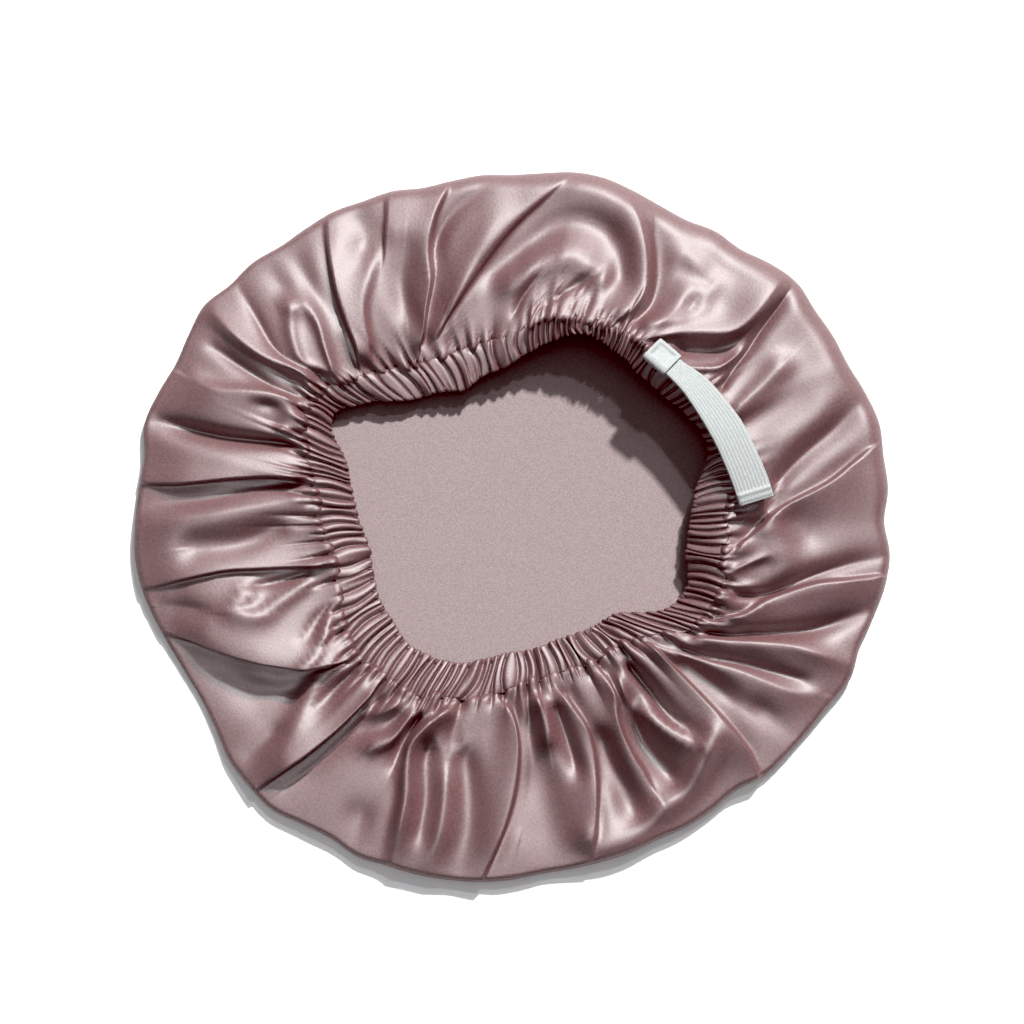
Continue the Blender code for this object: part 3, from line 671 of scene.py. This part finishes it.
# The casing: a band of the same satin folded over an elastic, ruched all the way round the mouth
# and sewn to the bag at the seam. Its gathers run on into the bag, and its free edge stands a
# little over the crown, ruffled.
CASING_COLUMNS = 2000
CASING_THICKNESS = 2.2 * MM
# A cut through the casing: share of the way from seam to free edge, and over or under its middle.
CASING_SECTION = (
    (0.00, -0.1), (0.02, 0.15), (0.05, 0.4), (0.09, 0.6), (0.16, 0.85), (0.26, 1.0), (0.38, 1.05),
    (0.50, 1.05), (0.62, 1.0), (0.74, 0.95), (0.85, 0.85), (0.93, 0.75), (0.98, 0.6), (1.00, 0.25),
    (1.00, -0.2), (0.97, -0.5), (0.85, -0.8), (0.60, -1.0), (0.30, -0.9), (0.10, -0.6), (0.02, -0.3),
)
# Pleats are fullest halfway over the band, flatter under it, and lift with the puckers at the seam.
PLEAT_DEPTH, END_FULLNESS, PLEATS_FROM = 3.3 * MM, 0.75, 0.02
UNDER_FLATTER, UNDER_GAP = 0.8, 0.1 * MM
PUCKER_LIFT, PUCKER_SHARE = 2.2 * MM, 0.16
# They bow sideways in slow waves, and the free edge is ruffled by each pleat and waved up and down.
BOW, BOWS = 0.35, 9
EDGE_RUFFLE = 0.6 * MM
FINE_WAVE, FINE_WAVES, LONG_WAVE, LONG_WAVES = 0.4 * MM, 71, 0.6 * MM, 33
phases = np.arange(CASING_COLUMNS) * GATHER_COUNT / CASING_COLUMNS
cells = np.arange(-2 * GATHER_COUNT, 3 * GATHER_COUNT + 1)
cell_degrees = gather_ends[cells % GATHER_COUNT] + 360.0 * (cells // GATHER_COUNT)
pleat_turns = np.interp(phases, cells, cell_degrees)
across, over = np.array(CASING_SECTION)[:, :1], np.array(CASING_SECTION)[:, 1:]
slant = np.interp(pleat_turns, gather_table[:, 0], gather_table[:, 2])
skew = slant * (across - PLEATS_FROM) + BOW * ripple(pleat_turns, BOWS, seed=2.0) * np.sin(np.pi * across)
casing_turns = np.interp(phases - skew, cells, cell_degrees)
pleat = np.broadcast_to(gather(pleat_turns), casing_turns.shape)
seam_spot = np.stack([at_angle("seam", casing_turns), at_angle("seam_z", casing_turns)], axis=-1)
edge_spot = np.stack([at_angle("edge", casing_turns), at_angle("edge_z", casing_turns)], axis=-1)
edge_spot[..., 0] -= EDGE_RUFFLE * (pleat - MEAN_GATHER)
edge_spot[..., 1] += (
    FINE_WAVE * ripple(casing_turns, FINE_WAVES, seed=4.0)
    + LONG_WAVE * ripple(casing_turns, LONG_WAVES, seed=6.0)
)
band = unit(edge_spot - seam_spot)
up = np.stack([band[..., 1], -band[..., 0]], axis=-1)
up *= np.sign(up[..., 1:])
fullness = END_FULLNESS + (1 - END_FULLNESS) * np.sin(np.pi * np.clip(across, 0, 1))
pucker_lift = PUCKER_LIFT * (gather(casing_turns, pucker_ends) - MEAN_PUCKER)
pucker_lift = pucker_lift * np.exp(-np.abs(across) / PUCKER_SHARE)
lift = over * CASING_THICKNESS / 2 + np.sign(over) * (
    PLEAT_DEPTH * fullness * (pleat - MEAN_GATHER) + pucker_lift
)
lift = np.where(over < 0, -np.abs(lift) * UNDER_FLATTER - UNDER_GAP, lift)
casing_cut = seam_spot + (edge_spot - seam_spot) * across[..., None] + up * lift[..., None]
casing_spots = true_place(casing_turns, casing_cut[..., 0], casing_cut[..., 1])
bm = bmesh.new()
cloth_rings(bm, CASING_COLUMNS, len(CASING_SECTION), closed=True)
casing = finished_piece("ruched_casing", bm, casing_spots, satin)
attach(casing, "root")
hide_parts("elastic_casing")

# The overlock: one rose sewing thread that winds over the casing's free edge in small even loops,
# and holds the folded satin shut.
LOOPS, LOOP_STEPS, THREAD_SIDES = 300, 12, 5
THREAD = 0.28 * MM
LOOP_WIDE, LOOP_HIGH = 0.9 * MM, 1.0 * MM
# The row of CASING_SECTION that the thread follows. Its loops sit a little out from that edge, and
# closer to it at two corners of the mouth, given in degrees with their spans.
FREE_EDGE_ROW = 13
LOOPS_OUT, CLOSER = 1.3 * MM, 0.7 * MM
CORNERS = ((153, 12), (335, 11))
THREAD_FINISH = {"Roughness": 0.6}
THREAD_SHADES = ((0.16, 0.09, 0.09), (0.26, 0.17, 0.17))
loop_turns = np.arange(LOOPS * LOOP_STEPS) * 360.0 / (LOOPS * LOOP_STEPS)
wind = 2 * np.pi * np.arange(LOOPS * LOOP_STEPS) / LOOP_STEPS
edge_turns = casing_turns[FREE_EDGE_ROW] % 360.0
edge_radius = np.interp(loop_turns, edge_turns, edge_spot[FREE_EDGE_ROW, :, 0], period=360)
edge_height = np.interp(loop_turns, edge_turns, edge_spot[FREE_EDGE_ROW, :, 1], period=360)
loops_out = LOOPS_OUT
for corner, span in CORNERS:
    loops_out = loops_out - CLOSER * np.exp(-(((loop_turns - corner) / span) ** 4))
loop_line = true_place(
    loop_turns, edge_radius + loops_out + LOOP_WIDE * np.cos(wind), edge_height + LOOP_HIGH * np.sin(wind)
)
forth = unit(np.roll(loop_line, -1, axis=0) - np.roll(loop_line, 1, axis=0))
ahead = np.stack([-np.sin(np.radians(loop_turns)), np.cos(np.radians(loop_turns)), 0 * loop_turns], axis=1)
first_way = unit(np.cross(forth, ahead))
second_way = np.cross(forth, first_way)
around = np.arange(THREAD_SIDES)[:, None, None] * 2 * np.pi / THREAD_SIDES
thread_spots = loop_line[None] + THREAD * (
    np.cos(around) * first_way[None] + np.sin(around) * second_way[None]
)
bm = bmesh.new()
cloth_rings(bm, LOOPS * LOOP_STEPS, THREAD_SIDES, closed=True)
thread = cloth_material("rose_sewing_thread", THREAD_FINISH, 2500.0, THREAD_SHADES)
overlock = finished_piece("overlock_thread", bm, thread_spots, thread)
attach(overlock, "root")

# The strap: a ribbed band of pale woven elastic that comes out of its keeper and lies free over the
# seam. It turns from banked to flat on its way, and its end is folded back and stitched.
STRAP_WIDTH = 17.0 * MM
STRAP_THICKNESS = 1.3 * MM
# Its doubled end: how long it is, how far it stands up, how soft its step is, and how much flatter
# its ribs are.
HEM_LENGTH, HEM_LIFT, HEM_STEP, HEM_FLATTER = 5.5 * MM, 0.9 * MM, 0.15 * MM, 0.6
# Points of its middle line as the photographed view shows them, across, back and up in millimetres,
# and how far its outer side dips there, in degrees.
STRAP_STATIONS = (
    (69, 76, 29.6, 28),
    (76.5, 69.5, 29.4, 27),
    (84.5, 62.5, 28.8, 23),
    (92, 53, 28.2, 19),
    (99.5, 41.5, 27.4, 15),
    (105, 30, 26.2, 12),
    (109.5, 19, 24.7, 9),
    (112.5, 9.5, 23.3, 6),
)
# It is drawn together in the keeper, and has its full width from the fifth point on.
DRAWN_IN = ((0, 1.0, 2.2, 3.8), (0.64, 0.70, 0.88, 1.0))
STRAP_STEPS, STRAP_AROUND = 150, 120
RIBS, RIB_DEPTH, RIB_POWER = 10, 0.26 * MM, 0.8
EDGE_POWER, EDGE_LEAST = 14, 0.04
ELASTIC_FINISH = {"Roughness": 0.75}
ELASTIC_SHADES = ((0.365, 0.392, 0.391), (0.458, 0.484, 0.484))


def capped_tube(around, count):
    """A tube of rings that is closed at both ends."""
    bm = bmesh.new()
    for end in cloth_rings(bm, around, count):
        bmesh.ops.contextual_create(bm, geom=end)
    return bm


stations = np.array(STRAP_STATIONS)
forward = (stations[:, 2] * MM - RIM_HEIGHT) * math.sin(PLAN_TILT)
back = (stations[:, 1] * MM - forward) / math.cos(PLAN_TILT)
strap_steps, strap_line = smooth_line(
    np.stack([stations[:, 0] * MM, back, stations[:, 2] * MM], axis=1), STRAP_STEPS
)
dips = np.radians(np.interp(strap_steps, np.arange(len(stations)), stations[:, 3]))[:, None]
half_wide = STRAP_WIDTH / 2 * np.interp(strap_steps, *DRAWN_IN)
strap_forth = unit(np.gradient(strap_line, axis=0))
outward = unit(np.cross(strap_forth, (0, 0, -1.0)))
upward = np.cross(outward, strap_forth)
upward *= np.sign(upward[:, 2:])
crosswise = outward * np.cos(dips) - upward * np.sin(dips)
facing = upward * np.cos(dips) + outward * np.sin(dips)
side_steps = STRAP_AROUND // 2
turn = np.arange(STRAP_AROUND)
sideways = np.where(turn < side_steps, 1 - 2 * turn / side_steps, -1 + 2 * (turn - side_steps) / side_steps)
ribs = RIB_DEPTH * np.abs(np.cos(np.pi * RIBS * (sideways + 1) / 2)) ** RIB_POWER
edge_round = np.sqrt(np.clip(1 - np.abs(sideways) ** EDGE_POWER, EDGE_LEAST, 1))
run_length = np.concatenate([[0], np.cumsum(np.linalg.norm(np.diff(strap_line, axis=0), axis=1))])
hem = 1 / (1 + np.exp(-(run_length - (run_length[-1] - HEM_LENGTH)) / HEM_STEP))
top = (STRAP_THICKNESS / 2 + HEM_LIFT * hem)[:, None] * edge_round
top = top + ribs * (1 - HEM_FLATTER * hem)[:, None]
bottom = -(STRAP_THICKNESS / 2) * edge_round - ribs
strap_lift = np.where(turn < side_steps, top, bottom[None])
strap_spots = strap_line[:, None] + crosswise[:, None] * (half_wide[:, None] * sideways)[..., None]
strap_spots = strap_spots + facing[:, None] * strap_lift[..., None]
elastic = cloth_material("pale_woven_elastic", ELASTIC_FINISH, 1200.0, ELASTIC_SHADES, 0.3)
strap = finished_piece("ribbed_strap", capped_tube(STRAP_AROUND, STRAP_STEPS), strap_spots, elastic)
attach(strap, "root")
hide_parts("elastic_strap")

# The hem stitches: two rows of small zigzags in pale thread, sewn across the strap's folded end
# to hold it down.
ZIGZAGS, ZIGZAG_REACH, ROW_SHARE = 18, 0.75 * MM, 0.94
STITCH, STITCH_SIDES, STITCH_PROUD = 0.17 * MM, 6, 0.12 * MM
# How far the two rows lie from the strap's end.
ROWS_BACK = (1.5 * MM, 4.2 * MM)


def on_strap(lengths, along_strap):
    """Values of the strap's steps, read at lengths along it."""
    return np.stack([np.interp(lengths, run_length, along_strap[:, axis]) for axis in range(3)], axis=1)


for number, row_back in enumerate(ROWS_BACK):
    zig = np.arange(ZIGZAGS * 4 + 1)
    stitch_at = run_length[-1] - row_back + np.array([0, 1, 0, -1])[zig % 4] * ZIGZAG_REACH
    stitch_across = (2 * zig / (ZIGZAGS * 4) - 1) * ROW_SHARE * STRAP_WIDTH / 2
    face_at = on_strap(stitch_at, facing)
    stitch_line = (
        on_strap(stitch_at, strap_line)
        + on_strap(stitch_at, crosswise) * stitch_across[:, None]
        + face_at * (STRAP_THICKNESS / 2 + HEM_LIFT + STITCH_PROUD)
    )
    level = unit(np.cross(unit(np.gradient(stitch_line, axis=0)), face_at))
    around = np.arange(STITCH_SIDES)[None, :, None] * 2 * np.pi / STITCH_SIDES
    stitch_spots = stitch_line[:, None] + STITCH * (
        np.cos(around) * level[:, None] + np.sin(around) * face_at[:, None]
    )
    tube = capped_tube(STITCH_SIDES, len(stitch_line))
    stitches = finished_piece("hem_stitches_%d" % (number + 1), tube, stitch_spots, elastic)
    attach(stitches, "root")

# The keeper: a short loop of the same elastic round the strap's root, sewn to the seam. Its edges
# are turned in and pressed, so that they stand up as a rim round its face, with a slot at one end.
KEEPER_LENGTH = 13.0 * MM
KEEPER_WALL = 1.1 * MM
KEEPER_AROUND, KEEPER_ROWS = 120, 40
# The room that it leaves round the strap.
KEEPER_ROOM_WIDE, KEEPER_ROOM_HIGH = 0.35 * MM, 0.3 * MM
# In millimetres: how far the rim stands up, the face lies under it, and the slot goes in further.
RIM_UP, FACE_DOWN, SLOT_DOWN = 0.75, 0.95, 0.6
# Shares of the keeper's half length and half width: where its sunk face ends and how softly, and
# where the slot lies, along and across.
FACE_END, FACE_END_SOFT, FACE_SIDE, FACE_SIDE_SOFT = 0.80, 0.14, 0.74, 0.16
SLOT_AT, SLOT_WIDE, SLOT_FROM, SLOT_TO = -0.56, 0.12, -0.7, 0.25
# How round its loop is across and up, and its wall along and outwards, from 0, square, to 1, round.
ACROSS_POWER, UP_POWER, LENGTH_POWER, WALL_POWER = 0.55, 0.65, 0.45, 0.6


def squared(swing, power):
    """A cosine or sine drawn towards 1 and -1, which gives a loop flatter sides."""
    return np.sign(swing) * np.abs(swing) ** power


turn = np.arange(KEEPER_AROUND) * 2 * np.pi / KEEPER_AROUND
lap = np.arange(KEEPER_ROWS) * 2 * np.pi / KEEPER_ROWS
keeper_wide = half_wide[0] + KEEPER_ROOM_WIDE + KEEPER_WALL / 2
keeper_high = STRAP_THICKNESS / 2 + KEEPER_ROOM_HIGH + KEEPER_WALL / 2
loop_across = keeper_wide * squared(np.cos(turn), ACROSS_POWER)
loop_up = keeper_high * squared(np.sin(turn), UP_POWER)
loop = np.stack([loop_across, loop_up], axis=1)
loop_way = unit(np.roll(loop, -1, axis=0) - np.roll(loop, 1, axis=0))
loop_out = np.stack([loop_way[:, 1], -loop_way[:, 0]], axis=1)
lap_along = squared(np.cos(lap), LENGTH_POWER) * KEEPER_LENGTH / 2
lap_out = squared(np.sin(lap), WALL_POWER) * KEEPER_WALL / 2
end_share = (2 * lap_along / KEEPER_LENGTH)[:, None]
side_share = (loop_across / keeper_wide)[None]
face = np.clip((FACE_END - np.abs(end_share)) / FACE_END_SOFT, 0, 1)
face = face * np.clip((FACE_SIDE - np.abs(side_share)) / FACE_SIDE_SOFT, 0, 1)
slot = np.exp(-(((end_share - SLOT_AT) / SLOT_WIDE) ** 2))
slot = slot * (side_share < SLOT_TO) * (side_share > SLOT_FROM)
on_top = (lap_out > 0)[:, None] * (loop_up > 0)[None]
lap_out = lap_out[:, None] + on_top * MM * (RIM_UP - FACE_DOWN * face - SLOT_DOWN * slot * face)
keeper_spots = (
    strap_line[0]
    + strap_forth[0] * lap_along[:, None, None]
    + crosswise[0] * (loop[None, :, :1] + loop_out[None, :, :1] * lap_out[..., None])
    + facing[0] * (loop[None, :, 1:] + loop_out[None, :, 1:] * lap_out[..., None])
)
bm = bmesh.new()
cloth_rings(bm, KEEPER_AROUND, KEEPER_ROWS, closed=True)
keeper = finished_piece("elastic_keeper", bm, keeper_spots, elastic)
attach(keeper, "root")
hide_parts("strap_keeper")
